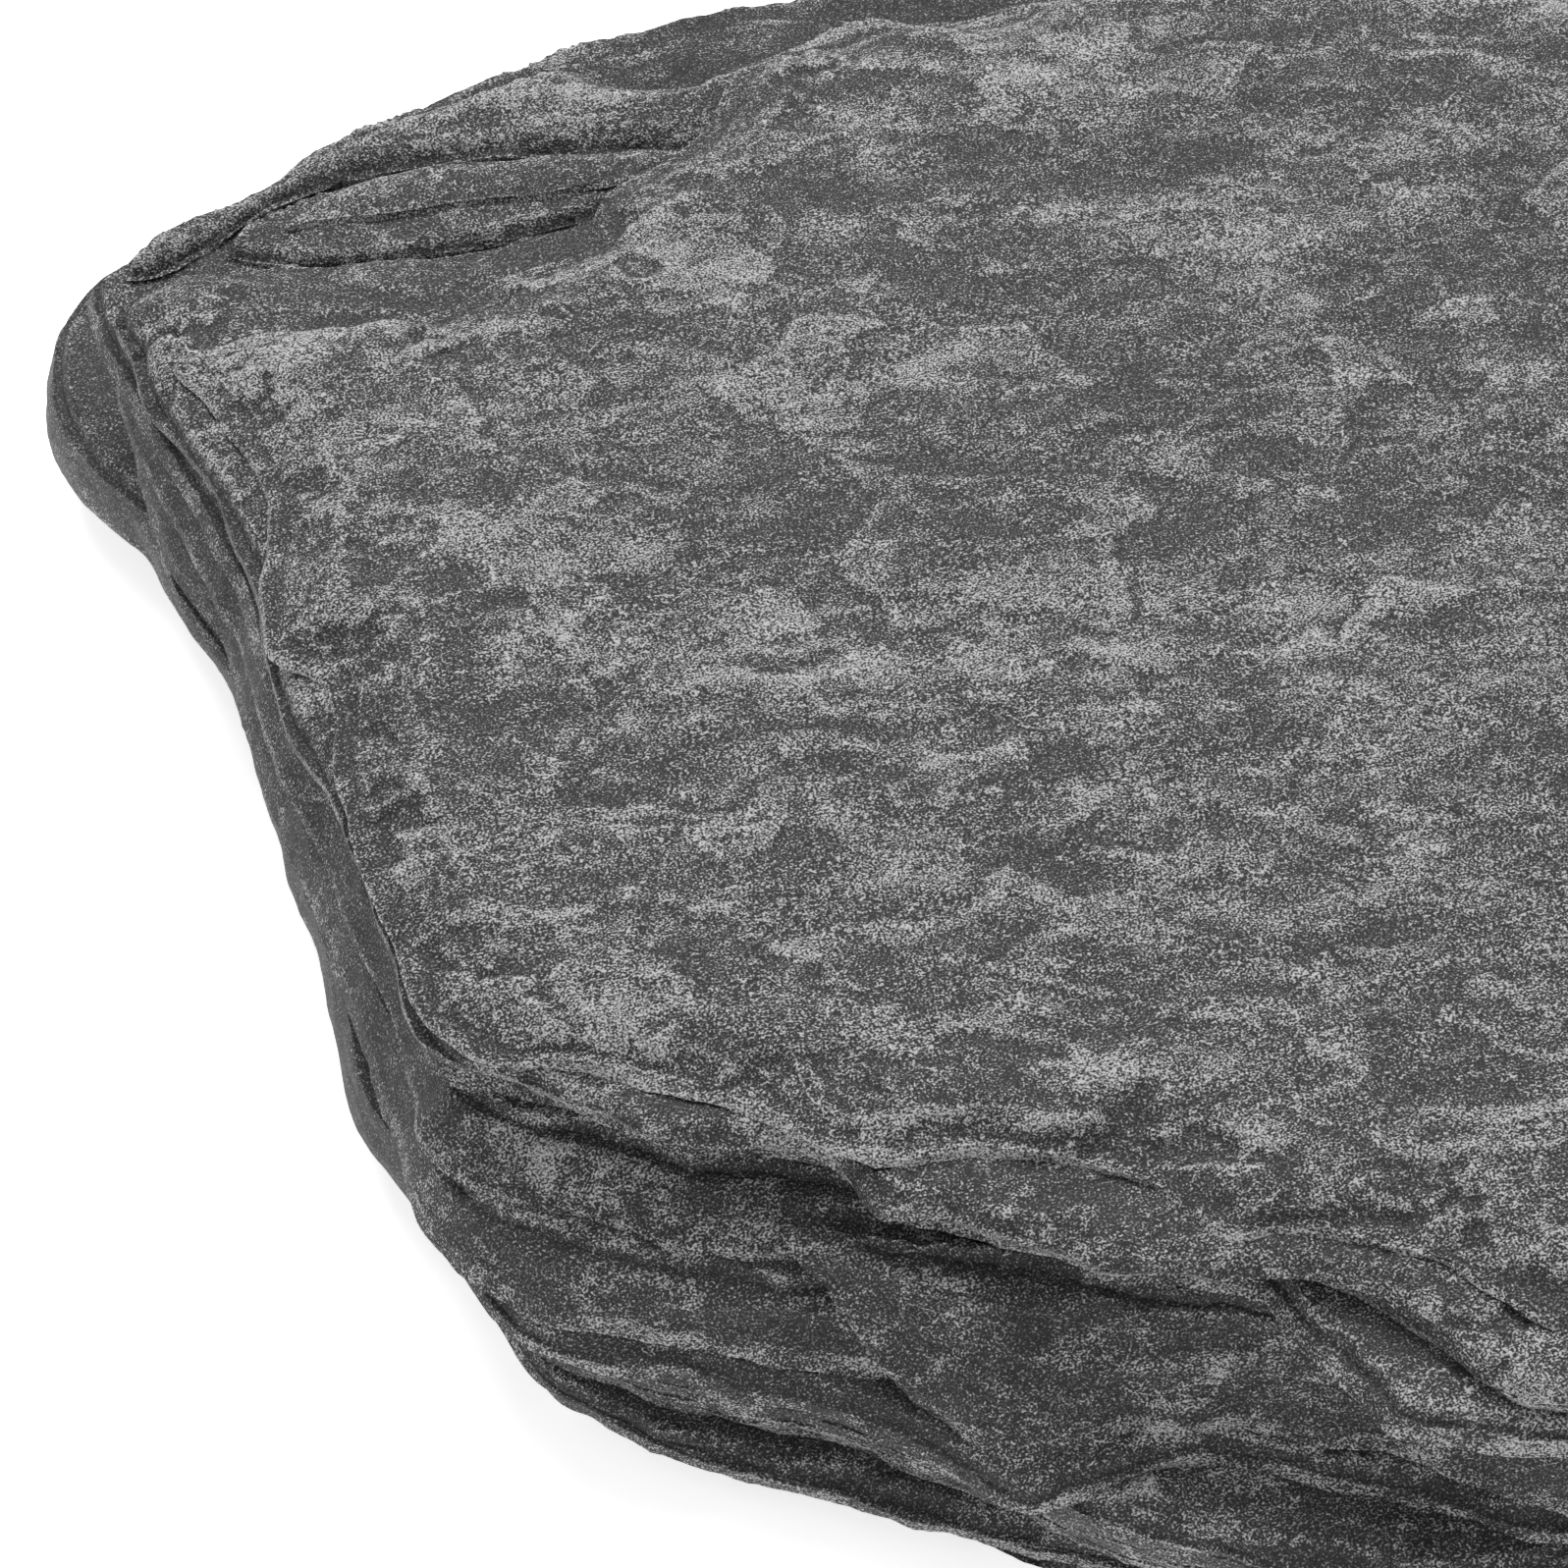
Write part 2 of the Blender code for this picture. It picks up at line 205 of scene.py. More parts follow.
# the nearest of the known points, for many places at once
def nearestOf(known, places):
    tree = KDTree(len(known))
    for i, p in enumerate(known):
        tree.insert((p[0], p[1], 0), i)
    tree.balance()
    found = [tree.find((p[0], p[1], 0))[1:] for p in places]
    return np.array([f[0] for f in found], int), np.array([f[1] for f in found])


# distance from every point to the loop, positive inside it
def nearness(points, loop):
    index, distance = nearestOf(loop, points)
    inside = ((points - loop[index]) * outwards(loop)[index]).sum(axis=1) < 0
    return distance * np.where(inside, 1, -1)


def hexPoints(loop, spacing, rng):
    low, high = loop.min(axis=0), loop.max(axis=0)
    ys = np.arange(low[1], high[1], spacing * 0.866)
    gx, gy = np.meshgrid(np.arange(low[0], high[0], spacing), ys)
    gx = gx + 0.5 * spacing * (np.arange(len(ys)) % 2)[:, None]
    points = np.stack([gx.ravel(), gy.ravel()], axis=1)
    return points + rng.uniform(-0.16, 0.16, points.shape) * spacing


# points inside a loop: close together near its edge, then even as far as the reach, sparse where covered
def facePoints(loop, reach, rng):
    kept = []
    # spacing, and from how near to how far from the edge
    for spacing, nearest, farthest in ((0.40, 0.26, 1.6), (0.52, 1.6, reach), (2.6, reach + 0.6, 1e6)):
        if nearest < farthest:
            points = hexPoints(loop, spacing, rng)
            near = nearness(points, loop)
            kept.append(points[(near > nearest) & (near <= farthest)])
    return np.concatenate(kept)


# triangles over the loop and the points inside it, numbered as loop + inner
def fillFace(loop, inner):
    corners = [Vector(p) for p in np.concatenate([loop, inner])]
    found = delaunay_2d_cdt(corners, [], [list(range(len(loop)))], 1, 1e-7)
    source = [numbers[0] for numbers in found[3]]
    return [[source[i] for i in face] for face in found[2]]


# thin sheets inside the stone, at the same heights all the way through it
sheetEdges = np.concatenate([[0], np.cumsum(np.random.default_rng(23).uniform(0.35, 1.05, 80))])
edgeSpacing = 0.42    # between two points round a leaf's edge, mm
lowerSpacing = 2.4    # between two points of a lower face, mm
sheetWaves = 0.4      # how much the cleavage planes roll, mm
grooveWidth = 0.09    # from the middle of a groove between two sheets to its rim, mm
plainRim = 0.3        # least distance from a leaf's faces to the middle of a groove, mm
rowGap = 0.02         # least height between two rows of points, mm
leastThick = 0.15     # a leaf is never worn thinner than this, mm
sharpAngle = 48       # edges that bend more than this stay crisp, degrees


# all the sheets roll together, more towards the top, and the lowest face stays flat
def sheetRoll(points):
    flat = points * (1, 1, 0)
    wave = 0.7 * noise(flat, (46, 30, 1), 31) + 0.3 * noise(flat, (17, 12, 1), 32)
    return sheetWaves * wave * smoothStep(2.0, 14.0, points[:, 2])


# how far the broken edge stands out from the drawn one, in mm, for every row of points round it
def edgeRelief(ring, t, sheet, groove, leftFacing, look):
    seed = 80
    layered = look["layered"] * (1 - 0.8 * leftFacing)
    push = look["bulge"] * 4 * t * (1 - t) + look["foot"] * (1 - t) ** 2
    push = push + look["rough"] * layeredNoise(ring, (8, 8, 6), 3, seed)
    # shallow scoops with sharp crests between them, large and small
    for size, share in (((6.5, 6.5, 4.5), 1.0), ((2.6, 2.6, 1.8), 0.42), ((1.2, 1.2, 0.9), 0.2)):
        nearest, chance = cells(ring, size, seed + 2)
        depth = np.minimum(nearest, 0.9) ** 2 - 0.3 + 0.25 * (chance[:, 0] - 0.5)
        push = push + look["scoop"] * share * (1 - 0.6 * leftFacing) * depth
    # each thin sheet stands out by its own amount, with a groove where two sheets part
    own = ring * (1, 1, 0) + np.array([0, 0, 1.7]) * sheet[:, None]
    push = push + layered * 0.5 * layeredNoise(own, (5, 5, 1.3), 3, seed + 5)
    depth = 0.04 + 0.34 * np.maximum(0, noise(own, (11, 11, 3), seed + 10))
    return push - groove * depth * layered


# height of an upper face above or below its sheet, in mm, and how freshly it is broken, 0 to 1, which
# darkens it; in the pockets this darkening is partly painted shade
def faceRelief(points, near, ring, look):
    flat = points * (1, 1, 0)
    seed = look["seed"]
    # flake scars: patches at slightly different levels, with ragged borders
    warp = np.zeros_like(flat)
    warp[:, 0] = 2.4 * layeredNoise(flat, 6, 3, seed + 40)
    warp[:, 1] = 1.5 * layeredNoise(flat, 6, 3, seed + 44)
    _, big = cells(flat + warp, (17, 9, 1), seed + 1, flat=True)
    _, small = cells(flat + 0.6 * warp, (6.5, 3.2, 1), seed + 2, flat=True)
    level = 0.9 * (big[:, 0] - 0.5) + 0.5 * (small[:, 0] - 0.5)
    # ramps that break off at a little step, like overlapping scales
    ramp = 2.4 * layeredNoise(flat + warp, (24, 12, 1), 3, seed + 41)
    share = ramp - np.floor(ramp)
    level = level + 0.9 * (share - smoothStep(0.93, 1.0, share) - 0.5)
    relief = look["scars"] * level
    freshAndShade = smoothStep(0.15, 0.5, 0.5 - level) * 0.6
    # chips off the edge, one thin sheet after another, fewer on the left side
    out = outwards(ring)
    _, fromLeft = nearestOf(ring[out[:, 0] < -0.5], points)
    wander = layeredNoise(flat, 9, 3, seed + 50)
    for k, drop in enumerate((0.18, 0.24, 0.32)):
        _, chance = cells(flat, (3.4, 3.4, 1), seed + 60 + k, flat=True)
        width = look["chips"] * (0.2 + 1.7 * wander + 1.2 * chance[:, 0] ** 2) / (k + 1)
        width *= smoothStep(0, 7, fromLeft)
        chipped = 1 - smoothStep(0.0, 0.3, near - np.maximum(width, 0))
        relief -= drop * chipped
        freshAndShade = np.maximum(freshAndShade, 0.35 * chipped)
    # the edge is rounded over, and leans down on some sides
    relief -= look["roll"] * np.clip(1 - near / (3.2 * look["roll"] + 0.5), 0, 1) ** 2
    for dx, dy, width, drop in look["leans"]:
        side = ring[out[:, 0] * dx + out[:, 1] * dy > 0.35]
        slope = np.clip(1 - nearestOf(side, points)[1] / (width * (1 + 0.4 * wander)), 0, 1)
        terraces = np.floor(slope * 5 + 0.7 * noise(flat, 4, seed + 66)) / 5
        relief -= drop * np.clip(0.6 * slope + 0.4 * terraces, 0, 1)
    # ragged pockets where flakes have jumped out along the left edge
    hollow = layeredNoise(flat + 0.3 * warp, (5.5, 3.6, 1), 4, seed + 70)
    pocket = smoothStep(0.5 - look["pockets"], 0.56 - look["pockets"], hollow) * smoothStep(7, 4, fromLeft)
    relief -= 0.4 * pocket
    # pockets are coloured darker, partly as fresh breaks, partly as painted shade in the hollows
    freshAndShade = np.maximum(freshAndShade, 0.8 * pocket)
    relief += look["waves"] * layeredNoise(flat, (15, 8, 1), 3, 77) * smoothStep(0, 4, near)
    relief += 0.06 * layeredNoise(flat, 2.4, 4, seed + 75)
    return relief, freshAndShade


# how far every point stands proud of the smoothed surface round it, -1 in hollows to 1 on crests
def crests(points, pairs, normals, rounds, size):
    count = np.bincount(pairs.ravel(), minlength=len(points))[:, None]
    both = np.concatenate([pairs, pairs[:, ::-1]])
    smooth = points.copy()
    for _ in range(rounds):
        total = [np.bincount(both[:, 0], smooth[both[:, 1], k], len(points)) for k in range(3)]
        smooth = 0.5 * smooth + 0.5 * np.stack(total, axis=1) / np.maximum(count, 1)
    return np.tanh(((points - smooth) * normals).sum(axis=1) / size)


def makeLeaf(look):
    name = look["node"]
    rng = np.random.default_rng(100 + look["seed"])
    upper, lower = matchedLoops(name, edgeSpacing)
    zHigh, zLow = upper[0, 2], lower[0, 2]
    count = len(upper)

    # rows round the edge: three to each thin sheet, the middle one down in the groove between sheets
    rows, grooves = [zLow], [0.0]
    for edge in sheetEdges:
        if zLow + plainRim < edge < zHigh - plainRim:
            rows += [edge - grooveWidth, edge, edge + grooveWidth]
            grooves += [0.0, 1.0, 0.0]
    rows.append(zHigh)
    grooves.append(0.0)
    t = np.repeat((np.array(rows) - zLow) / (zHigh - zLow), count)
    z = np.repeat(rows, count)
    ring = np.tile(lower, (len(rows), 1)) * (1 - t)[:, None] + np.tile(upper, (len(rows), 1)) * t[:, None]
    ring[:, 2] = z
    sheet = np.searchsorted(sheetEdges, z + 0.02).astype(float)   # a groove goes with the sheet above
    leftFacing = np.tile(smoothStep(0.25, 0.8, -outwards(upper)[:, 0]), len(rows))   # the left side broke smoothly
    push = edgeRelief(ring, t, sheet, np.repeat(grooves, count), leftFacing, look)
    ring[:, :2] += np.tile(outwards(upper), (len(rows), 1)) * push[:, None]
    wall = [untangled(row) for row in ring.reshape(len(rows), count, 3)]
    topRing, lowRing = wall[-1], wall[0]

    # upper face
    inner = facePoints(topRing[:, :2], look["reach"], rng)
    near = np.concatenate([np.zeros(count), nearness(inner, topRing[:, :2])])
    face = np.concatenate([topRing[:, :2], inner])
    face = np.concatenate([face, np.full((len(face), 1), zHigh)], axis=1)
    relief, freshAndShade = faceRelief(face, near, topRing, look)
    covered = smoothStep(look["reach"] - 1.5, look["reach"] + 1.5, near)
    face[:, 2] += np.maximum(relief * (1 - covered), zLow - zHigh + leastThick)
    topRing[:, 2] = face[:count, 2]
    for k in range(len(wall) - 2, 0, -1):
        wall[k][:, 2] = np.minimum(wall[k][:, 2], wall[k + 1][:, 2] - rowGap)

    # lower face, pressed onto the leaf below except where the parting stands open
    lowInner = hexPoints(lowRing[:, :2], lowerSpacing, rng)
    lowInner = lowInner[nearness(lowInner, lowRing[:, :2]) > 0.5 * lowerSpacing]
    under = np.concatenate([lowInner, np.full((len(lowInner), 1), zLow)], axis=1)
    if zLow > 0.1:   # the lowest leaf stays flat
        agape = smoothStep(0.25, 0.6, noise(lowRing * (1, 1, 0), 13, 95))
        lowRing[:, 2] -= look["press"] * (1 - 0.9 * agape)
    wall[1][:, 2] = np.maximum(wall[1][:, 2], lowRing[:, 2] + rowGap)

    topFaces = fillFace(topRing[:, :2], inner)
    lowFaces = fillFace(lowRing[:, :2], lowInner)
    points = np.concatenate([np.concatenate(wall), face[count:], under])
    points[:, 2] += sheetRoll(points)
    topStart = (len(wall) - 1) * count
    innerStart = len(wall) * count
    underStart = innerStart + len(inner)
    faces = []
    for r in range(len(wall) - 1):
        a = r * count + np.arange(count)
        b = r * count + (np.arange(count) + 1) % count
        faces += np.stack([a, b, b + count, a + count], axis=1).tolist()
    wallFaces = len(faces)
    faces += [[topStart + i if i < count else innerStart + i - count for i in f] for f in topFaces]
    faces += [[i if i < count else underStart + i - count for i in reversed(f)] for f in lowFaces]

    mesh = bpy.data.meshes.new(name + "_rock")
    mesh.from_pydata((points * mm).tolist(), [], faces)
    mesh.update()
    mesh.shade_smooth()
    mesh.set_sharp_from_angle(angle=math.radians(sharpAngle))

    # crests are painted paler and hollows darker, as painted highlight and painted shade with some scuffed
    # wear; fresh breaks are darker, with painted shade in pockets and on walls facing left; all drive the
    # colour
    pairs = np.empty(len(mesh.edges) * 2, np.int32)
    mesh.edges.foreach_get("vertices", pairs)
    normals = np.empty(len(points) * 3, np.float32)
    mesh.vertices.foreach_get("normal", normals)
    pairs, normals = pairs.reshape(-1, 2), normals.reshape(-1, 3)
    crestHighlightShade = 0.6 * crests(points, pairs, normals, 2, 0.05) + 0.4 * crests(points, pairs, normals, 9, 0.16)
    freshAndShadeByPoint = np.full(len(points), look["freshEdge"])
    # walls facing left are painted darker: painted shade
    freshAndShadeByPoint[:len(leftFacing)] += 0.8 * leftFacing
    freshAndShadeByPoint[topStart:topStart + count] = freshAndShade[:count]
    freshAndShadeByPoint[innerStart:underStart] = freshAndShade[count:]
    for label, values in (("crestHighlightShade", crestHighlightShade), ("freshAndShade", freshAndShadeByPoint)):
        mesh.attributes.new(label, "FLOAT", "POINT").data.foreach_set("value", values.astype(np.float32))
    unwrapLeaf(mesh, points, count, len(wall), wallFaces, len(topFaces))

    leaf = bpy.data.objects.new(name + "_rock", mesh)
    bpy.context.collection.objects.link(leaf)
    mesh.materials.append(stoneMaterial(look))
    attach(leaf, "root")
    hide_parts(name)
    print("made", name, len(points), "points", len(faces), "faces")


# flat map: the upper face large, the lower face small, and the edge as a few long strips along the bottom
def unwrapLeaf(mesh, points, count, rows, wallFaces, topFaces):
    low, high = points[:, :2].min(axis=0), points[:, :2].max(axis=0)
    scale = min(0.8 / (high[0] - low[0]), 0.78 / (high[1] - low[1]))
    strips = 4
    stripHeight = 0.19 / strips
    corners = np.empty(len(mesh.loops), np.int32)
    mesh.loops.foreach_get("vertex_index", corners)
    uv = np.zeros((len(corners), 2))
    quads = np.arange(wallFaces)
    row, place = quads // count, quads % count
    perStrip = math.ceil(count / strips)
    strip, along = place // perStrip, place % perStrip
    for k, (right, up) in enumerate(((0, 0), (1, 0), (1, 1), (0, 1))):
        uv[quads * 4 + k, 0] = 0.005 + 0.99 * (along + right) / perStrip
        uv[quads * 4 + k, 1] = 0.004 + stripHeight * strip + (stripHeight - 0.008) * (row + up) / (rows - 1)
    first = wallFaces * 4
    last = first + topFaces * 3
    uv[first:last] = (points[corners[first:last], :2] - low) * scale + (0.004, 0.205)
    uv[last:] = (points[corners[last:], :2] - low) * scale * 0.22 + (0.815, 0.21)
    mesh.uv_layers.new(name="OFBake").data.foreach_set("uv", uv.ravel().astype(np.float32))


def stoneMaterial(look):
    material = bpy.data.materials.new(look["node"] + "_rock")
    material.use_nodes = True
    nodes, links = material.node_tree.nodes, material.node_tree.links
    shader = nodes["Principled BSDF"]
    shader.inputs["Specular IOR Level"].default_value = look["shine"]
    coords = nodes.new("ShaderNodeTexCoord")

    def figure(operation, *values):
        node = nodes.new("ShaderNodeMath")
        node.operation = operation
        for socket, value in zip(node.inputs, values):
            if isinstance(value, (int, float)):
                socket.default_value = value
            else:
                links.new(value, socket)
        return node.outputs[0]

    def total(*parts):
        value = parts[0]
        for part in parts[1:]:
            value = figure("ADD", value, part)
        return value

    # noise round zero, size in mm, drawn out a little askew along the stone
    def grain(size, stretch=(1, 1, 1), detail=2.0, roughness=0.5, distortion=0.0, shift=0.0):
        place = nodes.new("ShaderNodeMapping")
        place.vector_type = "TEXTURE"
        place.inputs["Scale"].default_value = stretch
        place.inputs["Rotation"].default_value = (0, 0, math.radians(look["askew"]))
        place.inputs["Location"].default_value = (shift, shift * 0.7, shift * 0.3)
        links.new(coords.outputs["Object"], place.inputs["Vector"])
        texture = nodes.new("ShaderNodeTexNoise")
        texture.inputs["Scale"].default_value = 1 / (size * mm)
        texture.inputs["Detail"].default_value = detail
        texture.inputs["Roughness"].default_value = roughness
        texture.inputs["Distortion"].default_value = distortion
        links.new(place.outputs[0], texture.inputs["Vector"])
        return figure("SUBTRACT", texture.outputs["Fac"], 0.5)

    def band(value, low, high):
        node = nodes.new("ShaderNodeMapRange")
        node.interpolation_type = "SMOOTHSTEP"
        node.inputs["From Min"].default_value = low
        node.inputs["From Max"].default_value = high
        links.new(value, node.inputs["Value"])
        return node.outputs[0]

    def attribute(label):
        node = nodes.new("ShaderNodeAttribute")
        node.attribute_name = label
        return node.outputs["Fac"]

    shift = look["seed"] * 0.013
    blotches = grain(14, (1.5, 1, 1), 2, 0.5, 0.4, shift)      # broad scuffed areas
    patches = grain(3.2, (1.9, 1, 1), 4, 0.6, 0.5, shift)      # patches of dust
    flecks = grain(0.8, (1.6, 1, 1), 2, 0.6, 0.8, shift)       # crumbs in the patches
    fibres = grain(0.26, (1.5, 0.9, 0.9), 1, 0.5, 2.0, shift)  # short curled fibres
    dots = grain(0.13, (1.1, 1, 1), 0, 0.5, 0.0, shift)        # single grains
    lines = band(figure("ABSOLUTE", grain(0.55, (1.4, 1, 1), 1, 0.5, 1.0, shift + 0.7)), 0.04, 0.0)
    curls = figure("MULTIPLY", lines, band(fibres, -0.06, 0.06))   # thin bright curls
    # crest colouring is painted highlight on crests and painted shade in hollows; the fresh colouring is
    # partly fresh breaks, partly painted shade in pockets and on walls facing left
    crestHighlightShade, freshAndShade = attribute("crestHighlightShade"), attribute("freshAndShade")

    # how thickly the dust lies, with painted highlight on crests and painted shade in hollows, pockets and
    # on walls facing left, then its ragged patches over the dark rock, grain everywhere
    dustAndPaintedLight = total(figure("MULTIPLY", blotches, 0.45), figure("MULTIPLY", patches, look["patchy"]),
                    figure("MULTIPLY", flecks, 0.5), figure("MULTIPLY", crestHighlightShade, look["crestHighlightShadeShare"]),
                    figure("MULTIPLY", freshAndShade, -0.16), look["dusty"] - 0.5)
    net = total(figure("MULTIPLY", fibres, 0.5), figure("MULTIPLY", dots, 0.35))
    dusty = band(figure("ADD", net, dustAndPaintedLight), -0.18, 0.22)
    sparks = band(grain(0.33, (1, 1, 1), 0, 0.5, 0.0, shift + 0.2), 0.24, 0.33)   # scattered pale crumbs
    tone = total(0.13, figure("MULTIPLY", dusty, 0.5), figure("MULTIPLY", dustAndPaintedLight, 0.35),
                 figure("MULTIPLY", dots, 2.3), figure("MULTIPLY", fibres, 0.6),
                 figure("MULTIPLY", curls, 0.3), figure("MULTIPLY", sparks, 0.25))

    ramp = nodes.new("ShaderNodeValToRGB")
    d, p = look["dark"], look["pale"]
    stops = [(0.0, d * 0.25, 1.05, 1.02), (0.3, d, 1.02, 1.015), (0.5, (d + p) * 0.46, 1.01, 1.02),
             (0.7, p, 1.0, 1.02), (1.0, p * 2.2, 1.0, 1.01)]
    ramp.color_ramp.elements[0].position, ramp.color_ramp.elements[1].position = 0.0, 1.0
    for position, value, red, blue in stops:
        if position in (0.0, 1.0):
            stop = ramp.color_ramp.elements[0 if position == 0 else -1]
        else:
            stop = ramp.color_ramp.elements.new(position)
        stop.color = (value * red, value, value * blue, 1)
    links.new(tone, ramp.inputs[0])

    # a few rust spots
    rust = figure("MULTIPLY", band(grain(5.5, shift=shift + 0.4), 0.265, 0.3), band(fibres, -0.02, 0.1))
    blend = nodes.new("ShaderNodeMix")
    blend.data_type = "RGBA"
    blend.inputs["B"].default_value = (0.21, 0.1, 0.045, 1)
    links.new(figure("MULTIPLY", rust, 0.65), blend.inputs["Factor"])
    links.new(ramp.outputs["Color"], blend.inputs["A"])
    links.new(blend.outputs["Result"], shader.inputs["Base Color"])

    # dusty patches are duller than bare cleavage
    links.new(total(figure("MULTIPLY", dusty, 0.2), figure("MULTIPLY", dots, 0.2), look["roughness"]),
              shader.inputs["Roughness"])

    height = total(figure("MULTIPLY", dusty, 0.10), figure("MULTIPLY", flecks, 0.25),
                   figure("MULTIPLY", fibres, 0.16), figure("MULTIPLY", dots, 0.10),
                   figure("MULTIPLY", patches, 0.2), figure("MULTIPLY", curls, 0.03))
    bump = nodes.new("ShaderNodeBump")
    bump.inputs["Strength"].default_value = look["bump"]
    bump.inputs["Distance"].default_value = 1 * mm
    links.new(height, bump.inputs["Height"])
    links.new(bump.outputs[0], shader.inputs["Normal"])
    return material


# Each leaf has one dictionary, roughly from the bottom up. All sizes are in mm, all shares from 0 to 1.
# rough: how far the broken edge wanders.  scoop: depth of the scoops in it.  layered: how far single sheets
# show in it, a share.  bulge: how far its middle stands out.  foot: how far its foot stands out.
# chips: width of the flakes lost along the upper edge.  roll: how far that edge is rounded down.
# waves: height of the waves on the face.  scars: height of the flake scars.
# pockets: how common the pockets along the left edge are, 0 to 0.4.
# press: how far the lower rim reaches down onto the leaf below.
# reach: width of the part that other leaves leave open.
# leans: sides that slope down, as direction x, y, width and drop.
# dark, pale: bare rock and dust.  dusty: how much is dusted, a share.
# patchy: how far the dust gathers in patches.  askew: turn of the streaks, degrees.
# crestHighlightShadeShare: how far crests are painted paler and hollows darker, as painted highlight and
# painted shade with some scuffed wear.  freshEdge: how freshly the edge is broken, a share.
# roughness, shine, bump: finish of the stone, shares.  seed: which random pattern the leaf gets.

makeLeaf(dict(
    node="base_leaf", seed=1, rough=0.35, scoop=0.6, layered=0.9, bulge=0.2, foot=0.0, chips=1.2,
    waves=0.12, roll=0.25, scars=0.15, pockets=0.0, press=0.36, reach=4, leans=[], dark=0.068,
    pale=0.22, dusty=0.38, patchy=0.8, askew=12, crestHighlightShadeShare=0.2, freshEdge=0.3, roughness=0.62,
    shine=0.35, bump=0.5))
makeLeaf(dict(
    node="under_leaf", seed=2, rough=0.35, scoop=0.6, layered=0.9, bulge=0.2, foot=0.0, chips=1.4,
    waves=0.12, roll=0.25, scars=0.2, pockets=0.0, press=0.36, reach=5, leans=[], dark=0.068, pale=0.22,
    dusty=0.38, patchy=0.8, askew=12, crestHighlightShadeShare=0.2, freshEdge=0.3, roughness=0.62, shine=0.35, bump=0.5))
makeLeaf(dict(
    node="nose_slab", seed=3, rough=0.45, scoop=0.6, layered=0.45, bulge=0.35, foot=0.0, chips=1.8,
    waves=0.12, roll=0.5, scars=0.22, pockets=0.0, press=0.36, reach=16, leans=[], dark=0.068,
    pale=0.22, dusty=0.38, patchy=1.0, askew=12, crestHighlightShadeShare=0.2, freshEdge=0.3, roughness=0.60,
    shine=0.35, bump=0.4))
makeLeaf(dict(
    node="nose_leaf", seed=4, rough=0.4, scoop=0.6, layered=0.6, bulge=0.1, foot=0.0, chips=1.6,
    waves=0.12, roll=0.35, scars=0.2, pockets=0.0, press=0.36, reach=8, leans=[], dark=0.068, pale=0.22,
    dusty=0.38, patchy=1.0, askew=12, crestHighlightShadeShare=0.2, freshEdge=0.25, roughness=0.62, shine=0.35,
    bump=0.5))
makeLeaf(dict(
    node="ledge_slab", seed=5, rough=0.5, scoop=1.0, layered=0.2, bulge=0.2, foot=0.4, chips=0.3,
    waves=0.12, roll=0.15, scars=0.2, pockets=0.0, press=0.36, reach=10, leans=[], dark=0.068, pale=0.22,
    dusty=0.37, patchy=1.35, askew=12, crestHighlightShadeShare=0.2, freshEdge=0.15, roughness=0.62, shine=0.35,
    bump=0.6))
makeLeaf(dict(
    node="heart_slab", seed=6, rough=0.5, scoop=1.0, layered=0.2, bulge=0.2, foot=1.0, chips=0.3,
    waves=0.12, roll=0.1, scars=0.15, pockets=0.0, press=0.36, reach=7, leans=[], dark=0.068, pale=0.22,
    dusty=0.37, patchy=1.35, askew=12, crestHighlightShadeShare=0.2, freshEdge=0.15, roughness=0.62, shine=0.35,
    bump=0.6))
makeLeaf(dict(
    node="front_wedge", seed=7, rough=0.5, scoop=1.0, layered=0.2, bulge=0.3, foot=0.0, chips=0.3,
    waves=0.12, roll=0.15, scars=0.15, pockets=0.0, press=0.36, reach=9, leans=[], dark=0.068, pale=0.22,
    dusty=0.37, patchy=1.35, askew=12, crestHighlightShadeShare=0.2, freshEdge=0.1, roughness=0.62, shine=0.35,
    bump=0.6))
makeLeaf(dict(
    node="side_leaf", seed=8, rough=0.5, scoop=0.7, layered=0.4, bulge=0.1, foot=0.6, chips=0.5,
    waves=0.12, roll=0.2, scars=0.2, pockets=0.0, press=0.36, reach=9, leans=[], dark=0.068, pale=0.22,
    dusty=0.38, patchy=1.0, askew=12, crestHighlightShadeShare=0.2, freshEdge=0.2, roughness=0.62, shine=0.35, bump=0.5))
makeLeaf(dict(
    node="back_sliver", seed=9, rough=0.3, scoop=0.4, layered=0.6, bulge=0.0, foot=0.0, chips=0.6,
    waves=0.12, roll=0.2, scars=0.15, pockets=0.0, press=0.36, reach=9, leans=[(0, -1, 2.5, 0.3)],
    dark=0.068, pale=0.22, dusty=0.47, patchy=0.8, askew=12, crestHighlightShadeShare=0.2, freshEdge=0.3,
    roughness=0.62, shine=0.35, bump=0.5))
makeLeaf(dict(
    node="ridge_chip", seed=10, rough=0.2, scoop=0.3, layered=0.6, bulge=0.0, foot=0.0, chips=0.4,
    waves=0.12, roll=0.15, scars=0.1, pockets=0.0, press=0.7, reach=9,
    leans=[(0, 1, 2.0, 0.35), (0, -1, 2.5, 0.5)], dark=0.068, pale=0.22, dusty=0.5, patchy=0.8,
    askew=12, crestHighlightShadeShare=0.2, freshEdge=0.1, roughness=0.62, shine=0.35, bump=0.5))
makeLeaf(dict(
    node="back_leaf", seed=11, rough=0.4, scoop=0.5, layered=0.7, bulge=0.1, foot=0.0, chips=1.4,
    waves=0.12, roll=0.4, scars=0.22, pockets=0.0, press=0.36, reach=12, leans=[(0, -1, 4.5, 1.3)],
    dark=0.068, pale=0.22, dusty=0.53, patchy=0.8, askew=12, crestHighlightShadeShare=0.2, freshEdge=0.1,
    roughness=0.62, shine=0.35, bump=0.5))
